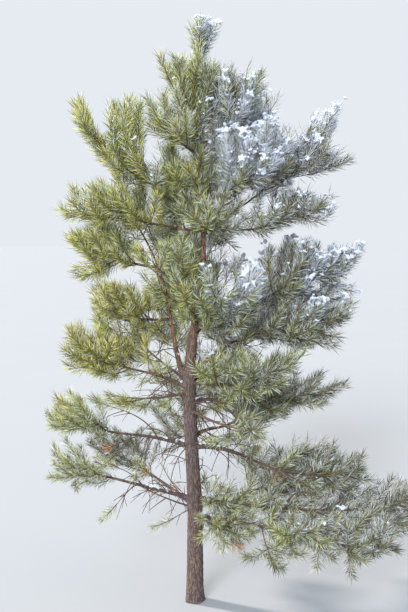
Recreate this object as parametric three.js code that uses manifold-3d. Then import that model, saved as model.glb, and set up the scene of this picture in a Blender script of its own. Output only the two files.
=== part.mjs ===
// Young pine tree about 2.4 m tall, rooted in level ground.
// Millimetres, +Z up, +X to the right and +Y to the back. The origin is in the middle of the flat cut
// where the trunk meets the ground.
// The trunk runs whole to its tip. Whorls of boughs leave it, each bough ends where it enters a mass of
// needles, and every mass is one stem that forks by a seeded rule into shoots clothed with needles.

import * as THREE from 'three';
import { mergeVertices } from 'three/addons/utils/BufferGeometryUtils.js';
import Module from 'manifold-3d';

const wasm = await Module();
wasm.setup();

// Trunk

const trunkTop = 2200;
const trunkColumns = 14;
const trunkRows = 22;
const footFlare = 5;
const flareHeight = 55;
const flareLobes = 5;

// Each station: height, lean to the right, lean to the back, radius.
const trunkStations = [
  [0, 0, 0, 36],
  [390, 2, 4, 32.5],
  [540, -6, 5, 29.5],
  [700, -15, 8, 28],
  [850, -21, 9, 26.5],
  [980, -20, 10, 24.5],
  [1110, -9, 8, 21.5],
  [1230, 12, 6, 15],
  [1440, 38, 2, 10.5],
  [1580, 35, 2, 10],
  [1880, 12, 6, 7],
  [2060, 8, 10, 5.5],
  [trunkTop, 18, 12, 4.5],
];

// Boughs

const boughColumns = 6;
const boughStep = 75;
const boughTaper = 0.55;
const collarSwell = 0.35;
const collarLength = 25;
const seatGap = 0.3;

// Each bough: name, height of its root on the trunk, bearing in degrees (0 right, 90 back, 180 left),
// reach to its tip, rise of its tip, arch of its middle, radius at its root.
const boughRows = [
  ['bough_low_left', 439, 190, 290, 90, 0, 10.5],
  ['bough_low_right_front', 357, -33, 112, 19, 4, 13],
  ['bough_low_right', 439, -12, 120, -2, 3, 13],
  ['bough_low_back_right', 400, 38, 180, 15, 6, 12],
  ['bough_low_back_left', 410, 128, 280, 50, 0, 11],
  ['bough_second_left', 661, 187, 260, 60, 8, 10],
  ['bough_second_right', 661, -8, 250, -45, 18, 11],
  ['bough_second_right_back', 694, 55, 156, 12, 8, 11],
  ['bough_third_right', 850, 8, 132, 5, 5, 9],
  ['bough_fourth_left', 905, 190, 195, 78, 8, 9],
  ['bough_fourth_right', 950, -8, 230, 175, 24, 10],
  ['bough_fourth_back_right', 915, 55, 126, 54, 8, 9.5],
  ['bough_fourth_back_left', 905, 125, 126, 60, 8, 9.5],
  ['bough_fifth_right', 1130, 10, 114, 72, 8, 9],
  ['bough_sixth_left', 1560, 192, 108, 7, -4, 7.5],
  ['bough_sixth_left_rising', 1590, 202, 111, 66, -4, 7.5],
  ['bough_sixth_right', 1556, -14, 78, 3, 2, 7],
  ['bough_sixth_right_rising', 1580, 16, 129, 51, -8, 8],
];

// The second stem leaves the trunk low down on the left and bends upright beside it, in two lengths.
const sideStem = { height: 926, bearing: 168, radius: 13 };
const sideStemLower = { reach: 85, rise: 300, arch: -70 };
const sideStemUpper = { reach: 125, rise: 335, arch: 0 };

// Masses of needles

const needleLength = 66;
const needleForward = 0.8;
const needleRoom = 34;
const bladeHalfWidth = 28;
const ownScale = 0.7;
const needleShare = 0.67;
const shootStep = 70;
const shootRadius = 5.5;
const shootTip = 3.4;
const forkRootRadius = 1.6;
const stemRadiusAtTip = 3.6;
const forkFirst = 0.16;
const forkLast = 0.9;
const forkSpread = 54;
const forkAgainOver = 175;
const forkAgainAt = 0.45;
const forkAgainLength = 0.6;
const liftAtFoot = 0.22;
const liftAtTop = 0.62;
const sideShootBare = 0.26;
const twigMargin = 1.2;

// Each mass on a bough's tip: name, bough, bearing, reach and rise of its stem, share of the stem that is
// bare, number of side shoots, their length, seed.
const tipMassRows = [
  ['needles_low_left', 'bough_low_left', 190, 245, 74, 0.12, 6, 205, 11],
  ['needles_low_right_front', 'bough_low_right_front', -32, 752, 24, 0.06, 10, 240, 12],
  ['needles_low_right', 'bough_low_right', -7, 830, 20, 0.06, 10, 240, 13],
  ['needles_low_back_right', 'bough_low_back_right', 36, 600, 35, 0.06, 9, 235, 14],
  ['needles_low_back_left', 'bough_low_back_left', 134, 330, 60, 0.12, 6, 230, 15],
  ['needles_second_left', 'bough_second_left', 184, 250, 70, 0.1, 7, 205, 16],
  ['needles_second_right', 'bough_second_right', -4, 440, -40, 0.08, 8, 225, 17],
  ['needles_second_right_back', 'bough_second_right_back', 57, 534, 68, 0.08, 8, 225, 18],
  ['needles_third_right', 'bough_third_right', 11, 463, 8, 0.08, 8, 200, 20],
  ['needles_fourth_left', 'bough_fourth_left', 188, 235, 85, 0.1, 7, 190, 21],
  ['needles_fourth_right', 'bough_fourth_right', -10, 380, 90, 0.08, 7, 205, 22],
  ['needles_fourth_back_right', 'bough_fourth_back_right', 55, 454, 176, 0.1, 8, 215, 23],
  ['needles_fourth_back_left', 'bough_fourth_back_left', 129, 434, 180, 0.1, 8, 215, 24],
  ['needles_fifth_right', 'bough_fifth_right', 10, 556, 248, 0.1, 9, 205, 25],
  ['needles_sixth_left', 'bough_sixth_left', 190, 417, 55, 0.1, 8, 185, 26],
  ['needles_sixth_left_rising', 'bough_sixth_left_rising', 197, 364, 294, 0.12, 8, 195, 27],
  ['needles_sixth_right', 'bough_sixth_right', -10, 392, 91, 0.1, 7, 185, 28],
  ['needles_sixth_right_rising', 'bough_sixth_right_rising', 14, 396, 334, 0.14, 8, 205, 29],
  ['needles_side_stem_top', 'side_stem_upper', 176, 50, 440, 0.08, 7, 190, 30],
];

// Each mass that grows straight from a stem: name, carrier, height of its root, then as above.
const stemMassRows = [
  ['needles_side_stem_left', 'side_stem_lower', 1195, 190, 270, 40, 0.25, 6, 185, 40],
  ['needles_side_stem_middle', 'side_stem_upper', 1400, 184, 330, 110, 0.25, 7, 185, 39],
  ['needles_second_back', 'trunk', 640, 94, 540, 240, 0.25, 8, 220, 19],
  ['needles_third_right_front', 'trunk', 817, -44, 400, -20, 0.45, 4, 150, 41],
  ['needles_fourth_left_front', 'trunk', 893, 210, 350, 20, 0.55, 4, 140, 42],
  ['needles_fourth_right_front', 'trunk', 930, -38, 430, 90, 0.22, 7, 215, 43],
  ['needles_fifth_right_front', 'trunk', 1140, -62, 300, 190, 0.2, 7, 190, 44],
  ['needles_fifth_left_front', 'trunk', 1190, 246, 220, 240, 0.2, 7, 200, 45],
  ['needles_fifth_back', 'trunk', 1150, 88, 440, 300, 0.22, 8, 220, 46],
  ['needles_sixth_front', 'trunk', 1545, 288, 200, 40, 0.22, 6, 165, 47],
  ['needles_sixth_back', 'trunk', 1565, 95, 380, 260, 0.2, 8, 215, 48],
  ['needles_seventh_right', 'trunk', 1672, -24, 310, 160, 0.18, 7, 190, 49],
  ['needles_seventh_left', 'trunk', 1690, 204, 190, 120, 0.22, 6, 155, 50],
  ['needles_eighth_right', 'trunk', 1872, -8, 200, 215, 0.18, 6, 165, 51],
  ['needles_eighth_left', 'trunk', 1890, 182, 105, 280, 0.2, 5, 150, 52],
  ['needles_eighth_left_front', 'trunk', 1866, 214, 175, 110, 0.2, 5, 145, 53],
  ['needles_eighth_right_back', 'trunk', 1908, 38, 370, 120, 0.18, 7, 175, 54],
  ['needles_eighth_back', 'trunk', 1925, 112, 190, 230, 0.2, 6, 165, 55],
  ['needles_top_front', 'trunk', 2070, 262, 60, 110, 0.2, 2, 90, 56],
  ['needles_leader', 'trunk', trunkTop, 10, 20, 128, 0.1, 5, 100, 57],
];

// Shapes

function turned(bearing, reach, rise) {
  const angle = THREE.MathUtils.degToRad(bearing);
  return new THREE.Vector3(reach * Math.cos(angle), reach * Math.sin(angle), rise);
}

function bentCurve(start, end, arch) {
  const middle = start.clone().lerp(end, 0.5);
  middle.z += 2 * arch;
  return new THREE.QuadraticBezierCurve3(start, middle, end);
}

// Bends a unit cylinder or cone: place gets the share of its length from the root, the angle round its
// axis, the row from the tip, and 1 on the rim or 0 in the middle of an end.
function bentBody(unit, rows, place) {
  unit.deleteAttribute('normal');
  unit.deleteAttribute('uv');
  const bent = mergeVertices(unit);
  const corner = bent.attributes.position;
  for (let i = 0; i < corner.count; i++) {
    const share = corner.getY(i) + 0.5;
    const row = Math.round((1 - share) * rows);
    const angle = Math.atan2(corner.getX(i), corner.getZ(i));
    const rim = Math.hypot(corner.getX(i), corner.getZ(i)) > 1e-3 ? 1 : 0;
    const point = place(share, angle, row, rim);
    corner.setXYZ(i, point.x, point.y, point.z);
  }
  return bent;
}

// Lays rings of the given radius along a curve.
function alongCurve(curve, rows, radiusAt, twist) {
  const frames = curve.computeFrenetFrames(rows, false);
  return (share, angle, row, rim) => {
    const step = rows - row;
    const turn = angle + row * twist;
    const radius = rim * radiusAt(share);
    return curve.getPointAt(step / rows)
      .addScaledVector(frames.normals[step], radius * Math.sin(turn))
      .addScaledVector(frames.binormals[step], -radius * Math.cos(turn));
  };
}

function toSolid(body) {
  return new wasm.Manifold(new wasm.Mesh({
    numProp: 3,
    vertProperties: new Float32Array(body.attributes.position.array),
    triVerts: new Uint32Array(body.index.array),
  }));
}

// The outer body alone: a hollow sealed by fusing is filled and a loose scrap is dropped.
function outerBody(solid) {
  const pieces = solid.decompose();
  return pieces.reduce((best, piece) => (piece.volume() > best.volume() ? piece : best));
}

function toMesh(solid, name, material) {
  const mesh = solid.getMesh();
  const body = new THREE.BufferGeometry();
  body.setAttribute('position', new THREE.BufferAttribute(new Float32Array(mesh.vertProperties), 3));
  body.setIndex(new THREE.BufferAttribute(new Uint32Array(mesh.triVerts), 1));
  body.computeVertexNormals();
  const result = new THREE.Mesh(body, material);
  result.name = name;
  return result;
}

// Space that is already taken: balls strung along limbs, shoots and needles, sorted into cells

const cellSize = 110;

function makeSpace() {
  const cells = new Map();
  const keyOf = (x, y, z) => `${x},${y},${z}`;
  const cellOf = (at) => [at.x, at.y, at.z].map((value) => Math.floor(value / cellSize));
  return {
    take(balls, owner, shoot) {
      for (const { at, radius } of balls) {
        const key = keyOf(...cellOf(at));
        cells.set(key, [...(cells.get(key) ?? []), { at, radius, owner, shoot }]);
      }
    },
    near(at) {
      const [x, y, z] = cellOf(at);
      const found = [];
      for (let i = 0; i < 27; i++) {
        const key = keyOf(x - 1 + (i % 3), y - 1 + (Math.floor(i / 3) % 3), z - 1 + Math.floor(i / 9));
        found.push(...(cells.get(key) ?? []));
      }
      return found;
    },
  };
}

// What the rule leaves room for between masses, and what the needles themselves must not touch.
const room = makeSpace();
const body = makeSpace();

function ballsAlong(curve, from, to, step, radiusAt) {
  const length = curve.getLength();
  const count = Math.max(1, Math.ceil(((to - from) * length) / step));
  const balls = [];
  for (let i = 0; i <= count; i++) {
    const share = from + ((to - from) * i) / count;
    balls.push({ at: curve.getPointAt(share), radius: radiusAt(share) });
  }
  return balls;
}

// Inside one mass shoots may come closer, because they are fused: ownScale shrinks the balls there.
function isClear(space, balls, owner, shoot, ownScale) {
  return balls.every((ball) => space.near(ball.at).every((other) => {
    if (other.owner === owner && (ownScale === 0 || other.shoot === shoot)) {
      return true;
    }
    const scale = other.owner === owner ? ownScale : 1;
    const gap = scale * (ball.radius + other.radius);
    return ball.at.distanceToSquared(other.at) > gap * gap;
  }));
}

// Materials

function trunkBark() {
  return new THREE.MeshStandardMaterial({ color: 0x6f5a4e, roughness: 0.9, metalness: 0 });
}

function boughBark() {
  return new THREE.MeshStandardMaterial({ color: 0x7d5b42, roughness: 0.88, metalness: 0 });
}

function needleGreen() {
  return new THREE.MeshStandardMaterial({ color: 0x62702f, roughness: 0.7, metalness: 0 });
}

// Trunk: rings between the stations, with a lobed flare at the foot

function trunkAt(height) {
  let i = 1;
  while (i < trunkStations.length - 1 && trunkStations[i][0] < height) {
    i++;
  }
  const [lowHeight, ...low] = trunkStations[i - 1];
  const [highHeight, ...high] = trunkStations[i];
  const share = THREE.MathUtils.clamp((height - lowHeight) / (highHeight - lowHeight), 0, 1);
  const [right, back, radius] = low.map((value, k) => value + (high[k] - value) * share);
  return { centre: new THREE.Vector3(right, back, height), radius };
}

function trunkSolid(grow) {
  const unit = new THREE.CylinderGeometry(1, 1, 1, trunkColumns, trunkRows);
  const body = bentBody(unit, trunkRows, (share, angle, row, rim) => {
    const height = trunkTop * Math.pow(share, 1.25);
    const { centre, radius } = trunkAt(height);
    const flare = footFlare * Math.exp(-height / flareHeight) * (1 + 0.5 * Math.cos(flareLobes * angle));
    const rimRadius = rim * (radius + flare + grow);
    return new THREE.Vector3(
      centre.x + rimRadius * Math.sin(angle),
      centre.y - rimRadius * Math.cos(angle),
      height,
    );
  });
  return toSolid(body);
}

// Boughs: each tapers from a collar at its root to a flat tip

const limbs = new Map();

function limbSolid(limb, grow) {
  const rows = Math.max(3, Math.round(limb.curve.getLength() / boughStep));
  const unit = new THREE.CylinderGeometry(1, 1, 1, boughColumns, rows);
  const length = limb.curve.getLength();
  const radiusAt = (share) => {
    const collar = limb.collar * Math.exp((-share * length) / (collarLength + limb.radius));
    return limb.radius * (1 - (1 - boughTaper) * share + collar) + grow;
  };
  return toSolid(bentBody(unit, rows, alongCurve(limb.curve, rows, radiusAt, 0)));
}

function addLimb(name, curve, radius, collar) {
  const limb = { name, curve, radius, collar, tipRadius: radius * boughTaper };
  limbs.set(name, limb);
  const balls = ballsAlong(curve, 0, 1, 8, (share) => radius * (1 - (1 - boughTaper) * share) + twigMargin);
  room.take(balls, name);
  body.take(balls, name);
  return limb;
}

// The rule that a mass grows by

function dice(seed) {
  let state = seed * 7919 + 12345;
  return (low, high) => {
    state = (state * 16807) % 2147483647;
    return low + ((high - low) * (state % 100000)) / 100000;
  };
}

// Balls for the twig of a shoot and for the room that its needles want
function shootBalls({ curve, bare, radius }) {
  const twig = ballsAlong(curve, 0, 1, 9, () => radius + twigMargin);
  const needles = ballsAlong(curve, bare + 0.1 * (1 - bare), 1, 20, () => needleRoom);
  return { twig, needles };
}

function forkedShoot(parent, share, side, length, roll) {
  const start = parent.curve.getPointAt(share);
  const ahead = parent.curve.getTangentAt(share);
  const across = new THREE.Vector3(-ahead.y, ahead.x, 0);
  if (across.length() < 0.2) {
    across.set(0, 1, 0);
  }
  across.normalize();
  const over = new THREE.Vector3().crossVectors(ahead, across).normalize();
  const spread = THREE.MathUtils.degToRad(forkSpread * (1.1 - 0.35 * share) + roll(-6, 6));
  const direction = ahead.clone().multiplyScalar(Math.cos(spread))
    .addScaledVector(across, Math.cos(side) * Math.sin(spread))
    .addScaledVector(over, Math.sin(side) * Math.sin(spread))
    .normalize();
  const end = start.clone().addScaledVector(direction, length);
  end.z += length * THREE.MathUtils.lerp(liftAtFoot, liftAtTop, start.z / trunkTop);
  const middle = start.clone().addScaledVector(direction, 0.5 * length);
  return {
    curve: new THREE.QuadraticBezierCurve3(start, middle, end),
    bare: sideShootBare,
    radius: shootRadius,
    rootRadius: forkRootRadius,
    tipRadius: shootTip,
  };
}

// Tries a shoot at full length and shorter; one that finds no room is left out.
function fitShoot(make, length, owner) {
  for (const share of [1, 0.8, 0.62]) {
    const shoot = make(length * share);
    const { twig, needles } = shootBalls(shoot);
    const outerTwig = twig.slice(Math.ceil(twig.length / 3));
    if (isClear(room, [...outerTwig, ...needles], owner, null, 0)) {
      room.take([...twig, ...needles], owner);
      return shoot;
    }
  }
  return null;
}

// Side shoots leave the stem left and right in turn, shorter toward its tip. A long one forks again.
function growMass(mass) {
  const roll = dice(mass.seed);
  const { curve, bare, radius } = mass;
  const stem = { curve, bare, radius, rootRadius: radius, tipRadius: stemRadiusAtTip };
  const { twig, needles } = shootBalls(stem);
  room.take([...twig, ...needles], mass.name);
  const shoots = [stem];
  const first = Math.max(forkFirst, 0.8 * mass.bare);
  for (let i = 0; i < mass.count; i++) {
    const place = (i + 0.5) / mass.count;
    const share = first + (forkLast - first) * place;
    const left = i % 2 === 0;
    const tilt = roll(-0.35, 0.8);
    const side = left ? -tilt : Math.PI + tilt;
    const length = mass.length * (1.12 - 0.5 * place) * roll(0.88, 1.12);
    const shoot = fitShoot((reach) => forkedShoot(stem, share, side, reach, roll), length, mass.name);
    if (!shoot) {
      continue;
    }
    shoots.push(shoot);
    if (length > forkAgainOver) {
      const make = (reach) => forkedShoot(shoot, forkAgainAt, left ? Math.PI : 0, reach, roll);
      const again = fitShoot(make, length * forkAgainLength, mass.name);
      if (again) {
        shoots.push(again);
      }
    }
  }
  return shoots;
}

// One needle is a blade that narrows to its tip. Its balls follow that width.
function needleBalls(root, tip) {
  return [0.1, 0.3, 0.6, 0.85, 1].map((share) => ({
    at: root.clone().lerp(tip, share),
    radius: 1 + bladeHalfWidth * (1 - share) * 0.75,
  }));
}

// One shoot: a three-sided core that turns as it goes, so that needles stand out of it on every side.
// A needle that would touch a limb, another shoot or its needles is left out.
function shootSolid(shoot, roll) {
  const { curve, bare, radius, rootRadius, tipRadius, owner } = shoot;
  const rows = Math.max(2, Math.round(curve.getLength() / shootStep));
  const radiusAt = (share) => (share < 1e-6 ? rootRadius : radius + (tipRadius - radius) * share);
  const cone = () => new THREE.ConeGeometry(1, 1, 3, rows);
  const core = bentBody(cone(), rows, alongCurve(curve, rows, radiusAt, Math.PI / 3));
  const marks = bentBody(cone(), rows, (share, angle, row, rim) => new THREE.Vector3(share, rim, row));
  const corner = core.attributes.position;
  const mark = marks.attributes.position;
  const points = Array.from(corner.array);
  const faces = [];
  const [a, b, c] = [0, 1, 2].map(() => new THREE.Vector3());
  for (let i = 0; i < core.index.count; i += 3) {
    const ids = [0, 1, 2].map((k) => core.index.getX(i + k));
    const share = ids.reduce((sum, id) => sum + mark.getX(id) / 3, 0);
    const atEnd = ids.some((id) => mark.getY(id) === 0);
    if (share < bare || atEnd || roll(0, 1) > needleShare) {
      faces.push(...ids);
      continue;
    }
    [a, b, c].forEach((vertex, k) => vertex.fromBufferAttribute(corner, ids[k]));
    const root = a.clone().add(b).add(c).divideScalar(3);
    const outward = b.clone().sub(a).cross(c.clone().sub(a)).normalize();
    const needle = outward.addScaledVector(curve.getTangentAt(share), needleForward).normalize();
    const tip = root.clone().addScaledVector(needle, needleLength);
    const balls = needleBalls(root, tip);
    if (!isClear(body, balls, owner, shoot, ownScale)) {
      faces.push(...ids);
      continue;
    }
    body.take(balls, owner, shoot);
    const id = points.length / 3;
    points.push(tip.x, tip.y, tip.z);
    faces.push(ids[0], ids[1], id, ids[1], ids[2], id, ids[2], ids[0], id);
  }
  const geometry = new THREE.BufferGeometry();
  geometry.setAttribute('position', new THREE.Float32BufferAttribute(points, 3));
  geometry.setIndex(faces);
  return toSolid(geometry);
}

function massSolid(mass) {
  const roll = dice(mass.seed + 1000);
  let solid = shootSolid(mass.shoots[0], roll);
  for (const shoot of mass.shoots.slice(1)) {
    solid = solid.add(shootSolid(shoot, roll));
  }
  return outerBody(mass.carrier ? solid.subtract(mass.carrier) : solid);
}

// The whole tree

const tree = new THREE.Group();
tree.name = 'young_pine';
tree.add(toMesh(trunkSolid(0), 'trunk', trunkBark()));

const trunkBalls = [];
for (let height = 0; height < trunkTop - 4; height += 8) {
  const { centre, radius } = trunkAt(height);
  trunkBalls.push({ at: centre, radius: radius + 2 });
}
room.take(trunkBalls, 'trunk');
body.take(trunkBalls, 'trunk');

const grownTrunk = trunkSolid(seatGap);

function addBoughs() {
  for (const [name, height, bearing, reach, rise, arch, radius] of boughRows) {
    const root = trunkAt(height).centre;
    const curve = bentCurve(root, root.clone().add(turned(bearing, reach, rise)), arch);
    const limb = addLimb(name, curve, radius, collarSwell);
    tree.add(toMesh(outerBody(limbSolid(limb, 0).subtract(grownTrunk)), name, boughBark()));
  }
}

function addSideStem() {
  const root = trunkAt(sideStem.height).centre;
  const { bearing, radius } = sideStem;
  const bend = root.clone().add(turned(bearing, sideStemLower.reach, sideStemLower.rise));
  const lower = addLimb('side_stem_lower', bentCurve(root, bend, sideStemLower.arch), radius, collarSwell);
  tree.add(toMesh(outerBody(limbSolid(lower, 0).subtract(grownTrunk)), lower.name, boughBark()));
  const ahead = lower.curve.getTangentAt(1);
  const seat = bend.clone().addScaledVector(ahead, seatGap);
  const top = bend.clone().add(turned(bearing, sideStemUpper.reach, sideStemUpper.rise));
  const middle = seat.clone().addScaledVector(ahead, 0.5 * seat.distanceTo(top));
  const upperCurve = new THREE.QuadraticBezierCurve3(seat, middle, top);
  const upper = addLimb('side_stem_upper', upperCurve, lower.tipRadius, 0);
  tree.add(toMesh(limbSolid(upper, 0), upper.name, boughBark()));
}

// A stem that goes on from a limb's tip starts flat against it, in the same direction.
function tipMass([name, limbName, bearing, reach, rise, bare, count, length, seed]) {
  const limb = limbs.get(limbName);
  const ahead = limb.curve.getTangentAt(1);
  const start = limb.curve.getPointAt(1).addScaledVector(ahead, seatGap);
  const end = start.clone().add(turned(bearing, reach, rise));
  const middle = start.clone().addScaledVector(ahead, 0.45 * start.distanceTo(end));
  const curve = new THREE.QuadraticBezierCurve3(start, middle, end);
  return { name, curve, bare, count, length, seed, radius: limb.tipRadius, carrier: null };
}

function pointAtHeight(curve, height) {
  const bottom = curve.getPointAt(0).z;
  const top = curve.getPointAt(1).z;
  return curve.getPointAt((height - bottom) / (top - bottom));
}

// A stem that grows from the side of the trunk or of a limb is cut clear of it.
function stemMass([name, carrier, height, bearing, reach, rise, bare, count, length, seed]) {
  const onTrunk = carrier === 'trunk';
  const atTop = onTrunk && height === trunkTop;
  const limb = limbs.get(carrier);
  const start = onTrunk ? trunkAt(height).centre : pointAtHeight(limb.curve, height);
  if (atTop) {
    start.z += seatGap;
  }
  const end = start.clone().add(turned(bearing, reach, rise));
  const middle = start.clone().lerp(end, 0.5);
  middle.z -= 0.12 * start.distanceTo(end);
  if (atTop) {
    middle.copy(start).setZ(start.z + 0.5 * rise);
  }
  const cutter = onTrunk ? grownTrunk : limbSolid(limb, seatGap);
  const curve = new THREE.QuadraticBezierCurve3(start, middle, end);
  const radius = atTop ? trunkAt(trunkTop).radius : 3.8 + 0.008 * start.distanceTo(end);
  return { name, curve, bare, count, length, seed, radius, carrier: atTop ? null : cutter };
}

function addMasses() {
  const masses = [...tipMassRows.map(tipMass), ...stemMassRows.map(stemMass)];
  for (const mass of masses) {
    mass.shoots = growMass(mass);
    for (const shoot of mass.shoots) {
      shoot.owner = mass.name;
      body.take(shootBalls(shoot).twig.slice(2), mass.name, shoot);
    }
  }
  for (const mass of masses) {
    tree.add(toMesh(massSolid(mass), mass.name, needleGreen()));
  }
}

addBoughs();
addSideStem();
addMasses();

export default tree;
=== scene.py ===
import bpy
import math
import numpy as np
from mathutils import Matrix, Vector, noise


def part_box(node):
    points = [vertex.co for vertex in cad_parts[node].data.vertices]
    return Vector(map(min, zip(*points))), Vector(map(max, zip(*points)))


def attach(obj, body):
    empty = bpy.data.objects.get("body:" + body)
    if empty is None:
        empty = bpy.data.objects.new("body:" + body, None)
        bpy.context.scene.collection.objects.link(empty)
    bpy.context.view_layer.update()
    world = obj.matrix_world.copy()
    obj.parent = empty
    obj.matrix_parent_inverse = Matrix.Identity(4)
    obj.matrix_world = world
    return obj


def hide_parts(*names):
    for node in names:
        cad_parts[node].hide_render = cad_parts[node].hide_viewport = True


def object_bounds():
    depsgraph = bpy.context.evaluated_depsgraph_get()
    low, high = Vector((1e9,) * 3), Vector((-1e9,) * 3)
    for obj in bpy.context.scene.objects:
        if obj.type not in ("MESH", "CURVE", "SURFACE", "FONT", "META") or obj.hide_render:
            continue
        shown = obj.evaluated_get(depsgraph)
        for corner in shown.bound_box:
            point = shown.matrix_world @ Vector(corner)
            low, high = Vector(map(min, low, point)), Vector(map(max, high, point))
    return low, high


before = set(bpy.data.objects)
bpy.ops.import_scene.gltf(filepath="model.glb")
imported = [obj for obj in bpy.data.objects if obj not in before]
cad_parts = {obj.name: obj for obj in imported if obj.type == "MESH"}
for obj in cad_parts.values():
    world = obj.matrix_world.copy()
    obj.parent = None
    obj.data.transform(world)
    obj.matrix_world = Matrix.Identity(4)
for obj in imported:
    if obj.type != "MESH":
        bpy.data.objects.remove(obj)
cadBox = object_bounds()
mm = 0.001  # the growth below is worked out in millimetres, the meshes are in metres
fullTurn, goldenTurn = 6.28, 2.39996  # radians


# small helpers


def unit(v):
    return v / np.maximum(np.linalg.norm(v, axis=-1, keepdims=True), 1e-12)


def up(rise):
    return np.array([0, 0, rise], float)


def turned(bearing, reach, rise):  # 0 right, 90 back, 180 left
    angle = math.radians(bearing)
    return np.array([reach * math.cos(angle), reach * math.sin(angle), rise], float)


def between(start, end):
    return np.linalg.norm(end - start)


def sideways(curve, ahead):  # two directions square to a line, at each of its points
    side = unit(np.cross(unit(curve.tip - curve.root), [0.31, 0.17, 0.93]))
    side = unit(side - (side * ahead).sum(1, keepdims=True) * ahead)
    return side, np.cross(ahead, side)


def inBox(at, margin):  # inside the CAD's box and a margin in mm
    low, high = (np.array(corner) / mm for corner in cadBox)
    return ((at > low - margin) & (at < high + margin)).all(-1)


def dice(seed):
    state = seed * 7919 + 12345

    def roll(low, high):
        nonlocal state
        state = state * 16807 % 2147483647
        return low + (high - low) * (state % 100000) / 100000

    return roll


class Bend:  # a bent line from root to tip, measured along its length
    def __init__(self, root, middle, tip):
        self.root, self.middle, self.tip = (np.array(p, float) for p in (root, middle, tip))
        self.turns = np.linspace(0, 1, 201)
        steps = np.linalg.norm(np.diff(self.raw(self.turns), axis=0), axis=1)
        self.marks = np.concatenate(([0], np.cumsum(steps)))
        self.length = self.marks[-1]

    def raw(self, t):
        t = np.asarray(t, float)[..., None]
        return (1 - t) ** 2 * self.root + 2 * t * (1 - t) * self.middle + t**2 * self.tip

    def turn(self, share):
        return np.interp(np.asarray(share, float) * self.length, self.marks, self.turns)

    def at(self, share):
        return self.raw(self.turn(share))

    def ahead(self, share):
        t = self.turn(share)[..., None]
        return unit((1 - t) * (self.middle - self.root) + t * (self.tip - self.middle))


def leaning(ahead, across, over, side, spread):  # a way that leans off a line, towards one side of it
    outward = across * math.cos(side) + over * math.sin(side)
    return ahead * math.cos(spread) + outward * math.sin(spread)


def arched(root, tip, rise):
    return Bend(root, (root + tip) / 2 + up(rise), tip)


def bentOut(start, way, rise=0.0, share=0.5):
    return Bend(start, start + way * share, start + way + up(rise))


# trunk and limbs, as in the source

# height, lean to the right, lean to the back, radius
trunkStations = np.array([
    (0, 0, 0, 36), (390, 2, 4, 32.5), (540, -6, 5, 29.5), (700, -15, 8, 28), (850, -21, 9, 26.5),
    (980, -20, 10, 24.5), (1110, -9, 8, 21.5), (1230, 12, 6, 15), (1440, 38, 2, 10.5),
    (1580, 35, 2, 10), (1880, 12, 6, 7), (2060, 8, 10, 5.5), (2200, 18, 12, 4.5),
], float)
trunkTop = 2200

# each bough and the mass at its tip: height of the root, bearing, reach, rise, arch, radius; then bearing,
# reach, rise, bare share, side shoots, their length, seed
boughRows = {
    "low_left": ((439, 190, 290, 90, 0, 10.5), (190, 245, 74, 0.12, 6, 205, 11)),
    "low_right_front": ((357, -33, 112, 19, 4, 13), (-32, 752, 24, 0.06, 10, 240, 12)),
    "low_right": ((439, -12, 120, -2, 3, 13), (-7, 830, 20, 0.06, 10, 240, 13)),
    "low_back_right": ((400, 38, 180, 15, 6, 12), (36, 600, 35, 0.06, 9, 235, 14)),
    "low_back_left": ((410, 128, 280, 50, 0, 11), (134, 330, 60, 0.12, 6, 230, 15)),
    "second_left": ((661, 187, 260, 60, 8, 10), (184, 250, 70, 0.1, 7, 205, 16)),
    "second_right": ((661, -8, 250, -45, 18, 11), (-4, 440, -40, 0.08, 8, 225, 17)),
    "second_right_back": ((694, 55, 156, 12, 8, 11), (57, 534, 68, 0.08, 8, 225, 18)),
    "third_right": ((850, 8, 132, 5, 5, 9), (11, 463, 8, 0.08, 8, 200, 20)),
    "fourth_left": ((905, 190, 195, 78, 8, 9), (188, 235, 85, 0.1, 7, 190, 21)),
    "fourth_right": ((950, -8, 230, 175, 24, 10), (-10, 380, 90, 0.08, 7, 205, 22)),
    "fourth_back_right": ((915, 55, 126, 54, 8, 9.5), (55, 454, 176, 0.1, 8, 215, 23)),
    "fourth_back_left": ((905, 125, 126, 60, 8, 9.5), (129, 434, 180, 0.1, 8, 215, 24)),
    "fifth_right": ((1130, 10, 114, 72, 8, 9), (10, 556, 248, 0.1, 9, 205, 25)),
    "sixth_left": ((1560, 192, 108, 7, -4, 7.5), (190, 417, 55, 0.1, 8, 185, 26)),
    "sixth_left_rising": ((1590, 202, 111, 66, -4, 7.5), (197, 364, 294, 0.12, 8, 195, 27)),
    "sixth_right": ((1556, -14, 78, 3, 2, 7), (-10, 392, 91, 0.1, 7, 185, 28)),
    "sixth_right_rising": ((1580, 16, 129, 51, -8, 8), (14, 396, 334, 0.14, 8, 205, 29)),
}
sideStem = {
    "height": 926, "bearing": 168, "radius": 13, "lower": (85, 300, -70), "upper": (125, 335),
    "mass": (176, 50, 440, 0.08, 7, 190, 30),  # at its top
}
boughTaper = 0.55
seatGap = 0.3

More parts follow.
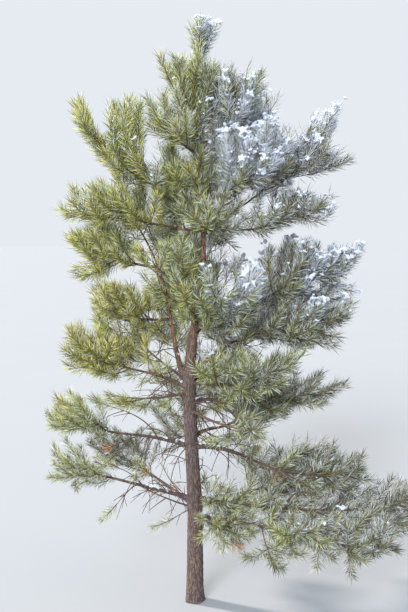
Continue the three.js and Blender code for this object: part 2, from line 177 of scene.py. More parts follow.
# masses on stems of their own: what carries them, name, height of the root, then as above
stemMassRows = {
    "side_stem_lower": [("side_stem_left", 1195, 190, 270, 40, 0.25, 6, 185, 40)],
    "side_stem_upper": [("side_stem_middle", 1400, 184, 330, 110, 0.25, 7, 185, 39)],
    "trunk": [
        ("second_back", 640, 94, 540, 240, 0.25, 8, 220, 19),
        ("third_right_front", 817, -44, 400, -20, 0.45, 4, 150, 41),
        ("fourth_left_front", 893, 210, 350, 20, 0.55, 4, 140, 42),
        ("fourth_right_front", 930, -38, 430, 90, 0.22, 7, 215, 43),
        ("fifth_right_front", 1140, -62, 300, 190, 0.2, 7, 190, 44),
        ("fifth_left_front", 1190, 246, 220, 240, 0.2, 7, 200, 45),
        ("fifth_back", 1150, 88, 440, 300, 0.22, 8, 220, 46),
        ("sixth_front", 1545, 288, 200, 40, 0.22, 6, 165, 47),
        ("sixth_back", 1565, 95, 380, 260, 0.2, 8, 215, 48),
        ("seventh_right", 1672, -24, 310, 160, 0.18, 7, 190, 49),
        ("seventh_left", 1690, 204, 190, 120, 0.22, 6, 155, 50),
        ("eighth_right", 1872, -8, 200, 215, 0.18, 6, 165, 51),
        ("eighth_left", 1890, 182, 105, 280, 0.2, 5, 150, 52),
        ("eighth_left_front", 1866, 214, 175, 110, 0.2, 5, 145, 53),
        ("eighth_right_back", 1908, 38, 370, 120, 0.18, 7, 175, 54),
        ("eighth_back", 1925, 112, 190, 230, 0.2, 6, 165, 55),
        ("top_front", 2070, 262, 60, 110, 0.2, 2, 90, 56), ("leader", 2200, 10, 20, 128, 0.1, 5, 100, 57),
    ],
}

# the rule that a mass grows by
growth = {
    "forkFirst": 0.16, "forkLast": 0.9, "forkSpread": 54, "spreadAtFoot": 1.1, "spreadLoss": 0.35,
    "forkAgainOver": 175, "forkAgainAt": 0.45, "forkAgainLength": 0.6, "tries": (1, 0.8, 0.62),
    "longestAtFoot": 1.12, "lengthLoss": 0.5, "liftAtFoot": 0.22, "liftAtTop": 0.62, "sideShootBare": 0.26,
    "shootRadius": 5.5, "needleRoom": 34, "twigMargin": 1.2, "stemRadius": 3.8, "stemRadiusByLength": 0.008,
    "tipStemBend": 0.45, "stemSag": 0.12,
}


def trunkAt(height):
    height = np.asarray(height, float)
    right, back, radius = (np.interp(height, trunkStations[:, 0], trunkStations[:, k]) for k in (1, 2, 3))
    return np.stack([right, back, height], -1), radius


def besideTrunk(at):  # distance from the middle of the trunk, and the trunk's radius there
    centre, radius = trunkAt(at[:, 2])
    return np.linalg.norm(at[:, :2] - centre[:, :2], axis=1), radius


class Room:  # balls strung along limbs, shoots and needles
    def __init__(self):
        self.at, self.radius, self.owner = np.zeros((0, 3)), np.zeros(0), np.zeros(0, str)

    def take(self, at, radius, name):
        self.at = np.vstack([self.at, at])
        self.radius = np.concatenate([self.radius, radius])
        self.owner = np.concatenate([self.owner, np.full(len(at), name)])

    def isClear(self, at, radius, name):
        centre, half = (at.min(0) + at.max(0)) / 2, (at.max(0) - at.min(0)) / 2 + 90
        near = (np.abs(self.at - centre) < half).all(1) & (self.owner != name)
        apart = ((at[:, None] - self.at[None, near]) ** 2).sum(2)
        return bool((apart > (radius[:, None] + self.radius[None, near]) ** 2).all())


room = Room()
limbs = {}


def ballsAlong(curve, start, step, radius):
    count = max(1, math.ceil((1 - start) * curve.length / step))
    share = start + (1 - start) * np.arange(count + 1) / count
    return curve.at(share), radius(share)


def shootBalls(shoot, rootLess=False):  # along the twig and its needles, or all but the twig's first third
    twig, tuft = shoot["radius"] + growth["twigMargin"], growth["needleRoom"]
    at, radius = ballsAlong(shoot["curve"], 0, 9, lambda share: share * 0 + twig)
    skip = math.ceil(len(at) / 3) if rootLess else 0
    first = shoot["bare"] + 0.1 * (1 - shoot["bare"])
    tufts = ballsAlong(shoot["curve"], first, 20, lambda share: share * 0 + tuft)
    return np.vstack([at[skip:], tufts[0]]), np.concatenate([radius[skip:], tufts[1]])


def forkedShoot(parent, share, side, length, roll, extraLift=0.0):
    start, ahead = parent["curve"].at(share), parent["curve"].ahead(share)
    across = np.array([-ahead[1], ahead[0], 0.0])
    across = unit(across if np.linalg.norm(across) >= 0.2 else np.array([0.0, 1.0, 0.0]))
    over = unit(np.cross(ahead, across))
    spread = growth["forkSpread"] * (growth["spreadAtFoot"] - growth["spreadLoss"] * share)
    spread = math.radians(spread + roll(-6, 6))
    direction = unit(leaning(ahead, across, over, side, spread))
    gain = growth["liftAtTop"] - growth["liftAtFoot"] + extraLift
    lift = growth["liftAtFoot"] + gain * start[2] / trunkTop
    curve = bentOut(start, direction * length, length * lift)
    return {"curve": curve, "bare": growth["sideShootBare"], "radius": growth["shootRadius"]}


def fitShoot(name, shoots, order, parent, share, side, length, roll):
    for part in growth["tries"]:
        shoot = forkedShoot(parent, share, side, length * part, roll)
        if room.isClear(*shootBalls(shoot, True), name):
            room.take(*shootBalls(shoot), name)
            shoots.append({**shoot, "order": order})
            return shoot
    return None


def growMass(name, curve, bare, count, reach, seed, radius):
    roll = dice(seed)
    stem = {"curve": curve, "bare": bare, "radius": radius, "order": 0}
    room.take(*shootBalls(stem), name)
    shoots = [stem]
    first = max(growth["forkFirst"], 0.8 * bare)
    for i in range(count):
        place = (i + 0.5) / count
        share = first + (growth["forkLast"] - first) * place
        tilt = roll(-0.35, 0.8)
        side, across = (math.pi + tilt, 0) if i % 2 else (-tilt, math.pi)
        length = reach * (growth["longestAtFoot"] - growth["lengthLoss"] * place) * roll(0.88, 1.12)
        shoot = fitShoot(name, shoots, 1, stem, share, side, length, roll)
        if shoot and length > growth["forkAgainOver"]:
            length *= growth["forkAgainLength"]
            fitShoot(name, shoots, 2, shoot, growth["forkAgainAt"], across, length, roll)
    return shoots


def addLimb(name, curve, radius):
    limbs[name] = {"curve": curve, "radius": radius, "tipRadius": radius * boughTaper}
    taper = lambda share: radius * (1 - (1 - boughTaper) * share) + growth["twigMargin"]
    room.take(*ballsAlong(curve, 0, 8, taper), name)


def growLimbs():
    centre, radius = trunkAt(np.arange(0, trunkTop - 4, 8))
    room.take(centre, radius + 2, "trunk")
    for name, ((height, *way, arch, radius), _) in boughRows.items():
        root = trunkAt(height)[0]
        addLimb("bough_" + name, arched(root, root + turned(*way), 2 * arch), radius)
    root = trunkAt(sideStem["height"])[0]
    reach, rise, arch = sideStem["lower"]
    bend = root + turned(sideStem["bearing"], reach, rise)
    lower = arched(root, bend, 2 * arch)
    addLimb("side_stem_lower", lower, sideStem["radius"])
    seat = bend + lower.ahead(1) * seatGap
    top = bend + turned(sideStem["bearing"], *sideStem["upper"])
    middle = seat + lower.ahead(1) * 0.5 * between(seat, top)
    addLimb("side_stem_upper", Bend(seat, middle, top), sideStem["radius"] * boughTaper)


def growMasses():
    stems, rows = [], {name: mass for name, (_, mass) in boughRows.items()}
    for name, (bearing, reach, rise, *rest) in (*rows.items(), ("side_stem_top", sideStem["mass"])):
        limb = limbs.get("bough_" + name, limbs["side_stem_upper"])
        ahead = limb["curve"].ahead(1)
        start = limb["curve"].at(1) + ahead * seatGap
        end = start + turned(bearing, reach, rise)
        curve = Bend(start, start + ahead * growth["tipStemBend"] * between(start, end), end)
        stems.append((name, curve, *rest, limb["tipRadius"]))
    for carrier, rows in stemMassRows.items():
        for name, height, bearing, reach, rise, *rest in rows:
            start = trunkAt(height)[0]
            if carrier != "trunk":
                line = limbs[carrier]["curve"]
                start = line.at((height - line.at(0)[2]) / (line.at(1)[2] - line.at(0)[2]))
            way = turned(bearing, reach, rise)
            far = between(start, start + way)
            radius = growth["stemRadius"] + growth["stemRadiusByLength"] * far
            curve = arched(start, start + way, -growth["stemSag"] * far)
            if height == trunkTop:
                start, radius = start + up(seatGap), float(trunkAt(trunkTop)[1])
                curve = Bend(start, start + up(0.5 * rise), start + way)
            stems.append((name, curve, *rest, radius))
    return {"needles_" + name: growMass("needles_" + name, *rest) for name, *rest in stems}


growLimbs()
masses = growMasses()
print("grown", len(masses), "masses with", sum(len(shoots) for shoots in masses.values()), "shoots")


# finer shoots in whorls on every shoot, inside the reach of their mass

finer = {
    "lastYear": 112, "year": 78,  # mm of unbranched tip, then mm between whorls
    "inWhorl": 4, "apartInWhorl": 2.094, "nextWhorlTurn": 1.05, "bareFoot": 0.14, "bareAtLeast": 10,
    "length": 122, "tries": (1, 0.75), "bare": 0.14, "extraLift": 0.35, "needleReach": 40,
    "apart": 17, "pastSide": 14, "pastUpright": 36, "offTrunk": 16, "pastAdded": 200,
    "addedSag": -0.1, "addedBare": 0.12,
    "thinned": ("needles_low_left", "needles_second_left"),  # half the shoots of a whorl are left out
}
sprigs = {  # short shoots on the trunk and on the boughs, near the masses
    "trunkFrom": 1150, "trunkTo": 2190, "trunkEvery": 21, "sizeBelow": 1.1, "sizeLoss": 0.45 / 1050,
    "length": 128, "spread": 62, "rise": 0.3, "bare": 0.3, "nextTurn": 2.4, "offTrunk": 24,
    "boughEvery": 18, "boughFirst": 0.35, "onBough": 0.8, "onSideStem": 1.7, "forksOver": 150,
    "bareBelow": 800, "leafyBelow": {  # share where needles begin on the low boughs
        "bough_low_right": 0.3, "bough_low_right_front": 0.35, "bough_low_back_right": 0.3,
        "bough_second_right": 0.62, "bough_second_right_back": 0.45,
    },
}
# where the photo shows sky through the crown: right, height, half width, half height, on the trunk's plane
skyGaps = [
    (-170, 1864, 34, 62), (-372, 2056, 38, 100), (-221, 1381, 58, 42), (-185, 1206, 44, 24),
    (104, 1463, 74, 32), (124, 1351, 36, 66), (240, 1090, 34, 22), (-230, 905, 140, 24), (511, 1030, 70, 36),
    (500, 705, 200, 28), (400, 2110, 88, 190), (515, 1752, 115, 38), (-120, 560, 60, 60), (150, 560, 60, 50),
    (-62, 2300, 30, 32), (124, 2296, 26, 32), (187, 2264, 85, 80), (588, 1920, 58, 34), (-150, 1064, 52, 40),
    (58, 1088, 34, 26), (-308, 1168, 44, 32), (104, 762, 80, 50), (334, 742, 54, 42),
]
# where it shows a limb in front of the needles: as above, then how far back the limb is
limbViews = [
    (-203, 1522, 22, 40, 42), (-169, 1455, 22, 44, 38), (-142, 1388, 22, 44, 33), (-121, 1318, 18, 36, 28),
    (34, 1505, 24, 46, -4), (-8, 1085, 32, 92, -14), (400, 556, 70, 15, -42), (520, 547, 70, 15, -50),
    (430, 399, 60, 15, -68), (550, 392, 60, 15, -85), (438, 460, 74, 38, -66),
]
eyePlace = (39, -3462, 1579)  # mm, where the photo was taken from
spaced = Room()  # the lines that shoots already follow
sprays = []  # every shoot that carries needles, each followed by the finer ones on it


def addSpray(shoot, twigs=(), tint=""):  # with the tint of its needles, where that is given
    sprays.extend({**part, "tint": tint} for part in (shoot, *twigs))


def leftOpen(at):
    at = np.atleast_2d(at)
    nearer = -eyePlace[1] / (at[:, 1] - eyePlace[1])
    right = eyePlace[0] + (at[:, 0] - eyePlace[0]) * nearer
    height = eyePlace[2] + (at[:, 2] - eyePlace[2]) * nearer
    places = [(*gap, math.inf) for gap in skyGaps] + limbViews
    return np.any([
        (((right - x) / wide) ** 2 + ((height - z) / tall) ** 2 < 1) & (at[:, 1] < depth)
        for x, z, wide, tall, depth in places], 0)


def isApart(curve):
    at = curve.at(np.linspace(0.45, 1, 6))
    return spaced.isClear(at, np.full(6, finer["apart"] / 2), "new")


def takeLine(curve):
    at = curve.at(np.linspace(0.2, 1, max(4, int(curve.length / 14))))
    spaced.take(at, np.full(len(at), finer["apart"] / 2), "grown")


def clearOfTrunk(curve, gap):
    away, radius = besideTrunk(curve.at(np.linspace(0.5, 1, 4)))
    return bool((away > radius + gap).all())


def finerShoots(shoot, name, roll):
    curve = shoot["curve"]
    low, high = (np.array(corner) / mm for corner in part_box(name)) if name else (
        curve.at(0.5) + way * finer["pastAdded"] for way in (-1, 1))
    past = np.array([finer["pastSide"], finer["pastSide"], finer["pastUpright"]])
    back, turn, found = finer["lastYear"] * roll(0.8, 1.1), roll(0, fullTurn), []
    while curve.length - back > finer["bareFoot"] * curve.length + finer["bareAtLeast"]:
        for k in range(finer["inWhorl"]):
            side = turn + k * finer["apartInWhorl"] + roll(-0.4, 0.4)
            reach = finer["length"] * roll(0.8, 1.2)
            share = 1 - back / curve.length
            for part in finer["tries"]:
                fine = forkedShoot(shoot, share, side, reach * part, roll, finer["extraLift"])
                line = fine["curve"]
                tip = line.tip + unit(line.tip - line.middle) * finer["needleReach"]
                free = (tip > low - past).all() and (tip < high + past).all()
                free = free and not leftOpen(line.at(0.85))[0] and clearOfTrunk(line, finer["offTrunk"])
                if free and isApart(line) and not (name in finer["thinned"] and k % 2):
                    fine.update(bare=finer["bare"], order=3)
                    takeLine(line)
                    found.append(fine)
                    break
        turn += finer["nextWhorlTurn"]
        back += finer["year"] * roll(0.85, 1.2)
    return found


def carriedSprig(start, ahead, side, length, roll):
    spread = math.radians(sprigs["spread"] + roll(-8, 8))
    across = unit(np.cross(ahead, [0.3, 0.2, 0.9]))
    direction = leaning(ahead, across, np.cross(ahead, across), side, spread)
    curve = bentOut(start, direction * length, length * sprigs["rise"])
    return {"curve": curve, "bare": sprigs["bare"], "order": 2}


def addSprigs(roll):
    places, found = [], []
    for height in np.arange(sprigs["trunkFrom"], sprigs["trunkTo"], sprigs["trunkEvery"]):
        size = sprigs["sizeBelow"] - sprigs["sizeLoss"] * (height - sprigs["trunkFrom"])
        places.append((trunkAt(height)[0], up(1), size))
    for name, limb in limbs.items():
        low = limb["curve"].root[2] < sprigs["bareBelow"]
        first = sprigs["leafyBelow"].get(name, 1) if low else sprigs["boughFirst"]
        count = int(limb["curve"].length * (1 - first) / sprigs["boughEvery"])
        size = sprigs["onSideStem" if name.startswith("side_stem") else "onBough"]
        for share in first + (1 - first) * (np.arange(count) + 0.5) / max(count, 1):
            places.append((limb["curve"].at(share), limb["curve"].ahead(share), size))
    for i, (start, ahead, size) in enumerate(places):
        reach = sprigs["length"] * size * roll(0.7, 1.2)
        sprig = carriedSprig(start, ahead, i * sprigs["nextTurn"] + roll(-0.3, 0.3), reach, roll)
        curve = sprig["curve"]
        free = clearOfTrunk(curve, sprigs["offTrunk"]) and not leftOpen(curve.at([0.3, 0.8])).any()
        if free and isApart(curve):
            takeLine(curve)
            found.append(sprig)
    return found


# bare twigs by what carries them: height on the trunk or share of a limb, bend and tip from there,
# radius, and the tint of a tuft at the end
bareTwigRows = {
    "trunk": [
        (415, (-25, -10, 30), (-58, -16, 62), 3.4, "Brown"), (400, (-110, -30, 40), (-226, -50, 108), 4.6),
        (405, (-40, -30, -10), (-88, -44, -34), 3.0, "Green"), (549, (44, -18, 4), (40, -24, 76), 3.2),
        (488, (24, -22, 12), (54, -34, 52), 3.8), (366, (14, -34, -8), (26, -58, -20), 4.4),
        (671, (-62, -18, -30), (-84, -26, -136), 3.4), (668, (-48, 22, -4), (-96, 30, -40), 2.8),
        (850, (62, -20, -30), (66, -34, -150), 2.6), (838, (44, 22, -44), (52, 40, -170), 2.4),
        (826, (74, -34, -40), (92, -40, -126), 2.6), (880, (-130, -20, 16), (-262, -10, -44), 2.6),
        (862, (-120, 26, 46), (-246, 60, 20), 2.4), (676, (18, -46, 6), (44, -70, 26), 2.8, "YellowGreen"),
        (760, (90, -50, 30), (190, -70, 10), 2.8), (590, (-70, 40, 30), (-150, 70, 20), 2.8),
        (868, (100, -50, 40), (236, -70, 8), 4.0), (846, (80, -64, 16), (208, -84, 10), 3.6),
        (852, (100, -50, -16), (190, -66, -70), 3.2, "YellowGreen"),
    ],
    "needles_low_right": [
        (0.3, (54, -38, 130), (141, -45, 55), 4.6), (0.43, (80, -40, -10), (150, -54, -60), 4.2),
    ],
    "bough_second_left": [
        (0.35, (-20, -16, 56), (-96, -30, 60), 3.4),
        (0.55, (-40, -6, 90), (-170, -20, 130), 3.8, "YellowGreen"),
        (0.5, (-8, -6, -36), (-6, -10, -74), 2.0), (0.6, (-30, -20, -22), (-36, -36, -96), 2.2, "Brown"),
        (0.8, (-40, 20, -10), (-108, 26, -46), 2.6, "Brown"),
        (0.7, (-10, -20, -30), (-26, -34, -84), 2.4, "Green"),
        (0.95, (-20, -24, -30), (-60, -34, -70), 2.4, "YellowGreen"),
    ],
    "bough_low_left": [
        (0.5, (-50, -26, 16), (-110, -40, -20), 2.8), (0.2, (-14, -30, 30), (-34, -44, 66), 2.4, "Green"),
        (0.4, (-20, -24, 36), (-56, -34, 70), 2.6, "YellowGreen"),
        (0.75, (-30, 20, 40), (-100, 30, 66), 3.0, "YellowGreen"),
        (0.85, (-36, -18, -30), (-74, -22, -76), 2.8, "YellowGreen"),
    ],
    "bough_second_right": [
        (0.6, (6, -10, -50), (-4, -14, -112), 2.6), (0.75, (10, -8, -22), (4, -12, -48), 2.0),
        (0.5, (60, -22, 46), (128, -30, 8), 3.0), (0.35, (40, 26, -30), (86, 40, -84), 2.6),
        (0.9, (60, -30, 10), (110, -46, -50), 2.4, "Brown"),
    ],
    "bough_low_back_left": [
        (0.5, (-60, 40, 30), (-130, 70, 10), 3.0), (0.75, (-30, 50, -20), (-50, 90, -50), 2.6, "Brown"),
    ],
    "bough_low_right": [(0.6, (30, -30, -30), (70, -50, -70), 2.8)],
    "bough_low_right_front": [(0.7, (40, -40, -20), (80, -60, -70), 2.6, "Brown")],
    "bough_low_back_right": [(0.6, (40, 30, -30), (90, 40, -80), 2.8)],
    "bough_second_right_back": [(0.6, (40, 40, -30), (70, 60, -90), 2.6)],
    "bough_third_right": [
        (0.6, (50, -40, -30), (110, -60, -50), 2.6, "YellowGreen"),
        (0.4, (30, 36, -20), (70, 60, -80), 2.4),
    ],
    "side_stem_lower": [(0.5, (-50, -30, 10), (-116, -40, -24), 2.8)],
    "bough_fourth_left": [(0.4, (-40, -30, -16), (-90, -50, -60), 2.6)],
}


dryTwigs = {  # fine ones on the low boughs and the lower trunk; forks and tufts of the listed ones
    "limbsBelow": 1000, "shares": (0.2, 0.92), "limbEvery": 24, "limbReach": (50, 150),  # mm
    "trunkHeights": (480, 960, 16), "trunkReach": (70, 190), "offTrunk": 5, "sag": (-0.55, 0.05),
    "bendAt": 0.55, "split": (0.35, 0.75), "radius": (1.5, 2.2), "fineRadius": 1.2,
    "twoForksOver": 90, "forkAt": (0.4, 0.85), "forkReach": (0.3, 0.5), "forkSag": -0.12, "forkRadius": 0.55,
    "tuft": 96, "brownTuft": 50, "tuftRise": 10, "tuftBare": 0.05,
}


def footOn(carrier, place):
    if carrier == "trunk":
        return trunkAt(place)[0]
    return (limbs[carrier] if carrier in limbs else masses[carrier][0])["curve"].at(place)


def anyWay(roll, low, high):
    return unit(np.array([roll(-1, 1), roll(-1, 1), roll(low, high)]))


def thinTwig(root, ahead, reach, roll):  # a dry twig that bends down, with a finer one off it
    aside = unit(ahead * 0.5 + anyWay(roll, -1, 0.8))
    sag = roll(*dryTwigs["sag"]) * reach
    line = bentOut(root, aside * reach, sag, dryTwigs["bendAt"])
    if not clearOfTrunk(line, dryTwigs["offTrunk"]):
        return []
    split = roll(*dryTwigs["split"])
    start = line.at(split)
    aside = unit(line.ahead(split) + anyWay(roll, -1, 0.6) * 0.8)
    fine = Bend(start, start + aside * reach * 0.2, start + aside * reach * 0.36 + up(sag * 0.2))
    return [(line, roll(*dryTwigs["radius"])), (fine, dryTwigs["fineRadius"])]


def placedTwig(start, bend, tip, radius, tuft, roll):
    line = Bend(start, start + np.array(bend), start + np.array(tip))
    found = [(line, radius)]
    for _ in range(2 if line.length > dryTwigs["twoForksOver"] else 1):  # finer twigs off it
        share = roll(*dryTwigs["forkAt"])
        root = line.at(share)
        aside = unit(line.ahead(share) + anyWay(roll, -1.2, 0.7) * 0.9)
        reach = line.length * roll(*dryTwigs["forkReach"])
        fine = bentOut(root, aside * reach, dryTwigs["forkSag"] * reach)
        found.append((fine, radius * dryTwigs["forkRadius"]))
    if tuft:
        out = line.ahead(1.0) * dryTwigs["brownTuft" if tuft == "Brown" else "tuft"]
        curve = bentOut(line.tip, out, dryTwigs["tuftRise"])
        addSpray({"curve": curve, "bare": dryTwigs["tuftBare"], "order": 2}, tint=tuft)
    return found


def growBareTwigs(roll):
    found = []
    for carrier, rows in bareTwigRows.items():
        for place, bend, tip, radius, *tuft in rows:
            found += placedTwig(footOn(carrier, place), bend, tip, radius, "".join(tuft), roll)
    for line in (limb["curve"] for limb in limbs.values()):
        if line.root[2] <= dryTwigs["limbsBelow"]:
            for share in np.arange(*dryTwigs["shares"], dryTwigs["limbEvery"] / line.length):
                found += thinTwig(line.at(share), line.ahead(share), roll(*dryTwigs["limbReach"]), roll)
    for height in np.arange(*dryTwigs["trunkHeights"]):
        away = anyWay(roll, -0.3, 0.5)
        found += thinTwig(trunkAt(height)[0], away, roll(*dryTwigs["trunkReach"]), roll)
    return found


# shoots past the rule's, where the photo's crown is closed: what carries them, then height on the trunk
# or share of a bough or a mass's stem, bearing, reach, rise
addedShoots = [
    ("trunk", [(1890, 254, 71, 310), (1880, -26, 69, 250), (1900, 152, 72, 250), (2060, 2, 58, 140)]),
    ("needles_leader", [(0.4, 205, 28, 100), (0.4, -12, 62, 95), (0.4, -72, 45, 100), (0.4, 54, 41, 95)]),
    ("needles_fourth_right", [
        (0.15, -30, 215, -25), (0.35, -20, 225, -60), (0.3, 20, 225, -45), (0.6, -34, 150, -45),
    ]),
    ("needles_fifth_right", [
        (0.3, -20, 225, -35), (0.4, 16, 230, -40), (0.55, -14, 200, -60), (0.7, -8, 150, -60),
    ]),
    ("needles_side_stem_middle", [(0.42, 186, 170, -62), (0.6, 178, 125, -58), (0.5, 205, 130, -70)]),
    ("needles_sixth_right_rising", [(0.45, 3, 290, 72)]),
    ("trunk", [(448, -28, 185, -18), (385, -24, 190, -95), (372, 14, 230, -80)]),
    ("bough_low_right", [(0.6, -62, 130, 26), (0.9, -30, 140, -40)]),
    ("bough_low_right_front", [(0.7, -58, 110, -75), (0.95, -12, 130, -70)]),
]
leaderNeedles = [(1700, 1880), (1890, 2050), (2050, 2200)]  # heights of the needles on the trunk itself
seeds = {
    "masses": 300, "added": 400, "onSprigs": 297, "sprigs": 299, "bareTwigs": 298, "needles": 91, "bark": 7,
}


def growSprays():
    for shoots in masses.values():
        for shoot in shoots:
            takeLine(shoot["curve"])
    for number, (name, shoots) in enumerate(masses.items()):
        roll = dice(seeds["masses"] + number)
        for shoot in shoots:
            addSpray(shoot, finerShoots(shoot, name, roll))
    added = [(carrier, row) for carrier, rows in addedShoots for row in rows]
    for number, (carrier, (place, *way)) in enumerate(added):
        foot = footOn(carrier, place)
        tip = foot + turned(*way)
        line = arched(foot, tip, finer["addedSag"] * between(foot, tip))
        takeLine(line)
        shoot = {"curve": line, "bare": finer["addedBare"], "order": 1}
        mass = carrier if carrier in masses else None
        addSpray(shoot, finerShoots(shoot, mass, dice(seeds["added"] + number)))
    lines = [Bend(*(trunkAt(h)[0] for h in (low, (low + high) / 2, high))) for low, high in leaderNeedles]
    lines.append(Bend(*(footOn("needles_leader", share) for share in (0, 0.5, 0.95))))
    for line in lines * 2:  # twice over: the leader's own needles are the thickest
        addSpray({"curve": line, "bare": 0.0, "order": 2, "onTrunk": True})
    roll = dice(seeds["onSprigs"])
    for sprig in addSprigs(dice(seeds["sprigs"])):
        forks = sprig["curve"].length > sprigs["forksOver"]
        addSpray(sprig, finerShoots(sprig, None, roll) if forks else [])


growSprays()
bareTwigs = growBareTwigs(dice(seeds["bareTwigs"]))
print("grown", len(sprays), "shoots,", sum(shoot["order"] == 3 for shoot in sprays), "of them finer ones")


# materials


class Wire:  # an output socket: sums on it add Math nodes
    def __init__(self, finish, socket):
        self.finish, self.socket = finish, socket

    def __add__(self, other):
        return self.finish.sum("ADD", self, other)

    def __mul__(self, other):
        return self.finish.sum("MULTIPLY", self, other)


def rgb(code):  # a screen colour as Blender's linear one
    parts = [int(code[i:i + 2], 16) / 255 for i in (1, 3, 5)]
    return (*(p / 12.92 if p <= 0.04045 else ((p + 0.055) / 1.055) ** 2.4 for p in parts), 1)


class Finish:  # one material and the way its nodes are added
    def __init__(self, name):
        self.material = bpy.data.materials.new(name)
        self.material.use_nodes = True
        self.nodes, self.links = self.material.node_tree.nodes, self.material.node_tree.links
        self.nodes.clear()
        self.place = self.node("ShaderNodeTexCoord", {}, {}, "Object")

    def node(self, kind, settings, sockets, output=0):
        made = self.nodes.new(kind)
        for key, value in settings.items():
            setattr(made, key, value)
        for key, value in sockets.items():
            if isinstance(value, Wire):
                self.links.new(value.socket, made.inputs[key])
            else:
                made.inputs[key].default_value = value
        return Wire(self, made.outputs[output]) if len(made.outputs) else None

    def sum(self, operation, first, second):
        return self.node("ShaderNodeMath", {"operation": operation}, {0: first, 1: second})

    def mix(self, share, first, second):  # colours
        first, second = (c if isinstance(c, Wire) else rgb(c) for c in (first, second))
        return self.node("ShaderNodeMix", {"data_type": "RGBA"}, {0: share, 6: first, 7: second}, 2)

    def spread(self, value, low, high, toLow=0.0, toHigh=1.0):
        sockets = {0: value, 1: low, 2: high, 3: toLow, 4: toHigh}
        return self.node("ShaderNodeMapRange", {"interpolation_type": "SMOOTHSTEP"}, sockets)

    def speckle(self, scale, detail=3.0, place=None):
        sockets = {"Vector": place or self.place, "Scale": scale, "Detail": detail, "Roughness": 0.55}
        return self.node("ShaderNodeTexNoise", {}, sockets)

    def attribute(self, name):
        return self.node("ShaderNodeAttribute", {"attribute_name": name}, {}, 2)

    def bump(self, height, strength, distance):
        return self.node("ShaderNodeBump", {}, {"Height": height, "Strength": strength, "Distance": distance})

    def surface(self, colour, roughness, more):
        sockets = {"Base Color": colour, "Roughness": roughness, **more}
        shader = self.node("ShaderNodeBsdfPrincipled", {}, sockets)
        self.node("ShaderNodeOutputMaterial", {}, {"Surface": shader})
        return self.material


def keepValues(mesh, values):  # a number for each corner, which its material reads
    for key, value in values.items():
        mesh.attributes.new(key, "FLOAT", "POINT").data.foreach_set("value", value.astype(np.float32))


def meshPiece(name, corners, faces, material, slot, values, smooth=False):
    mesh = bpy.data.meshes.new(name)
    mesh.vertices.add(len(corners))
    mesh.loops.add(faces.size)
    mesh.loops.foreach_set("vertex_index", faces.astype(np.int32).ravel())
    mesh.polygons.add(len(faces))
    mesh.polygons.foreach_set("loop_start", np.arange(0, faces.size, faces.shape[1], dtype=np.int32))
    mesh.polygons.foreach_set("use_smooth", np.full(len(faces), smooth))
    moveCorners(mesh, corners)
    keepValues(mesh, values)
    mesh.materials.append(material)
    piece = bpy.data.objects.new(name, mesh)
    bpy.context.scene.collection.objects.link(piece)
    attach(piece, "root")
    return piece


def added(operator, **settings):  # the object that an operator adds
    bpy.ops.object.select_all(action="DESELECT")
    operator(**settings)
    return bpy.context.object


def applyModifier(piece, kind, **settings):
    bpy.ops.object.select_all(action="DESELECT")
    piece.select_set(True)
    bpy.context.view_layer.objects.active = piece
    bpy.ops.object.modifier_add(type=kind)
    modifier = piece.modifiers[-1]
    for key, value in settings.items():
        setattr(modifier, key, value)
    bpy.ops.object.modifier_apply(modifier=modifier.name)


def cornersOf(mesh, key="co"):
    values = np.zeros(len(mesh.vertices) * 3, np.float32)
    mesh.vertices.foreach_get(key, values)
    return values.reshape(-1, 3).astype(float)


def moveCorners(mesh, corners):  # to places in mm
    mesh.vertices.foreach_set("co", (corners * mm).astype(np.float32).ravel())
    mesh.update(calc_edges=not len(mesh.edges))


# trunk and boughs with the bark's relief

bark = {
    "voxel": 2.7, "from": -24, "flareTo": 160, "flareStep": 12, "step": 40,  # mm
    "footFlare": 6.0, "flareHeight": 60, "flareLobes": 5, "lobeDepth": 2.5,
    "collarSwell": 0.5, "collarLength": 26, "limbPast": 9, "limbWithin": 12,
    "plateWidth": 5.6, "plateStretch": 5.2, "plateDepth": 2.5, "flakeDepth": 0.8,
    "fullDepthAt": 34, "thinning": 1.6, "warp": 0.7, "edge": 2.6, "chips": 0.4, "chipSize": 3.1,
    "level": 0.55,  # the relief that lies on the wood's own surface
    "stretch": 0.35, "patches": 22, "grain": 160, "flakes": 95,
    "youngFrom": 1.0, "youngTo": 1.55,  # heights in metres
    "fissure": "#41342f", "plate": "#69554d", "plateGrey": "#5f5556", "lichen": "#8d7b73",
    # the last colour here, for the limbs' old bark, is painted shade
    "upper": "#a67c5a", "upperDark": "#75543f", "limbPaintedShade": "#3c322f",
    "roughness": (0.78, 0.95), "bump": (0.55, 0.0015),
}


def barkFinish():
    f = Finish("pineBark")
    tall = f.node("ShaderNodeMapping", {}, {"Vector": f.place, "Scale": (1, 1, bark["stretch"])})
    height = f.node("ShaderNodeSeparateXYZ", {}, {"Vector": f.place}, 2)
    relief, limb = f.attribute("relief"), f.attribute("limb")
    broad, grain = f.speckle(bark["patches"], 3.0, tall), f.speckle(bark["grain"], 4.0, tall)
    edges = {"Vector": tall, "Scale": bark["flakes"]}
    flake = f.node("ShaderNodeTexVoronoi", {"feature": "DISTANCE_TO_EDGE"}, edges)
    young = f.spread(height + limb * 0.12 + broad * 0.3, bark["youngFrom"], bark["youngTo"])
    old = f.mix(f.spread(broad, 0.4, 0.62), bark["plate"], bark["plateGrey"])
    old = f.mix(f.spread(grain, 0.56, 0.72, 0, 0.6), old, bark["lichen"])
    # painted shade: the old bark is darker on the limbs, which lie in shade under the crown
    old = f.mix(limb * 0.5, old, bark["limbPaintedShade"])
    fresh = f.mix(f.spread(grain, 0.42, 0.62), bark["upperDark"], bark["upper"])
    deep = f.spread(relief + grain * 0.25, 0.2, 0.85)
    colour = f.mix(deep, bark["fissure"], f.mix(young, old, fresh))
    bumps = f.bump(f.spread(flake, 0.0, 0.25) * 0.5 + grain, *bark["bump"])
    return f.surface(colour, f.spread(grain, 0.3, 0.7, *bark["roughness"]), {"Normal": bumps})


